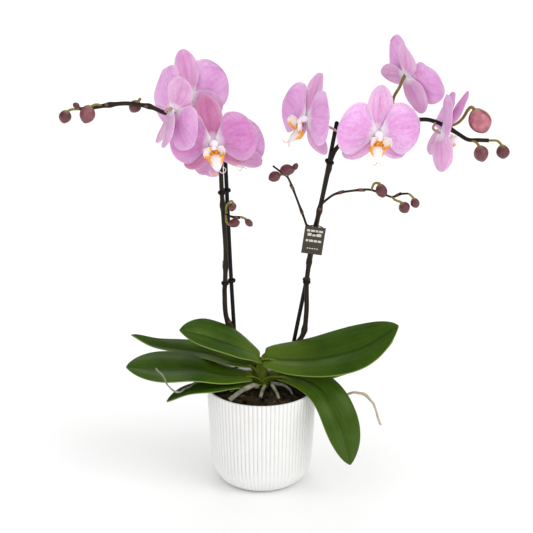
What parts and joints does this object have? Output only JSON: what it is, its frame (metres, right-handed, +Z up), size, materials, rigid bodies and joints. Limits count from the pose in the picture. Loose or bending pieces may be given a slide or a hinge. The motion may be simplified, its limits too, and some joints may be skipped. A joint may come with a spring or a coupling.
{
  "type": "potted moth orchid",
  "caption": "Moth orchid with arching mauve flower spikes on thin stakes, strap leaves and silver roots in a fluted white pot.",
  "frame": {"origin": "middle of the pot's foot, on the surface it stands on", "axes": "+Z up, -Y towards the side that most open flowers face, +X to the right as seen from that side"},
  "size_m": [0.544, 0.1865, 0.5805],
  "materials": {
    "pot": "white satin glaze over fine vertical flutes",
    "grow_pot": "thin clear plastic",
    "bark": "rough damp bark chips",
    "crown": "smooth yellow-green leaf bases",
    "leaf": "waxy dark green with fine lengthwise veins",
    "root": "dry silver-grey root skin",
    "stake": "plain black",
    "stem": "smooth dark brown-green stem, mauve buds",
    "clip": "black plastic",
    "tag": "dark printed card on a black band",
    "sepal": "pale mauve with darker veins, soft sheen",
    "petal": "mauve with fine fanned veins, soft sheen",
    "lip": "white with yellow base and edges"
  },
  "bodies": {
    "root": {"pot": "pot", "grow_pot": "grow_pot", "bark_mix": "bark", "crown": "crown", "leaf_upper_left": "leaf", "leaf_upper_right": "leaf", "leaf_mid_left": "leaf", "leaf_lower_left": "leaf", "leaf_short_left": "leaf", "leaf_back_right": "leaf", "leaf_drooping_right": "leaf", "root_thick_left": "root", "root_middle": "root", "root_right": "root", "aerial_root_left": "root", "aerial_root_right": "root", "stake_left": "stake", "stake_right": "stake", "spike_left": "stem", "spike_right": "stem", "branch_left": "stem", "branch_right_inner": "stem", "branch_right_outer": "stem", "clip_left_upper": "clip", "clip_left_lower": "clip", "clip_right_upper": "clip", "clip_right_lower": "clip", "tag": "tag", "flower_front_left_sepals": "sepal", "flower_upper_left_sepals": "sepal", "flower_side_left_sepals": "sepal", "flower_behind_left_sepals": "sepal", "flower_inner_right_sepals": "sepal", "flower_front_right_sepals": "sepal", "flower_upper_right_sepals": "sepal", "flower_far_right_sepals": "sepal", "flower_front_left_petal_left": "petal", "flower_front_left_petal_right": "petal", "flower_upper_left_petal_left": "petal", "flower_upper_left_petal_right": "petal", "flower_side_left_petal_left": "petal", "flower_side_left_petal_right": "petal", "flower_behind_left_petal_left": "petal", "flower_behind_left_petal_right": "petal", "flower_inner_right_petal_left": "petal", "flower_inner_right_petal_right": "petal", "flower_front_right_petal_left": "petal", "flower_front_right_petal_right": "petal", "flower_upper_right_petal_left": "petal", "flower_upper_right_petal_right": "petal", "flower_far_right_petal_left": "petal", "flower_far_right_petal_right": "petal", "flower_front_left_lip": "lip", "flower_upper_left_lip": "lip", "flower_side_left_lip": "lip", "flower_behind_left_lip": "lip", "flower_inner_right_lip": "lip", "flower_front_right_lip": "lip", "flower_upper_right_lip": "lip", "flower_far_right_lip": "lip"}
  },
  "joints": []
}
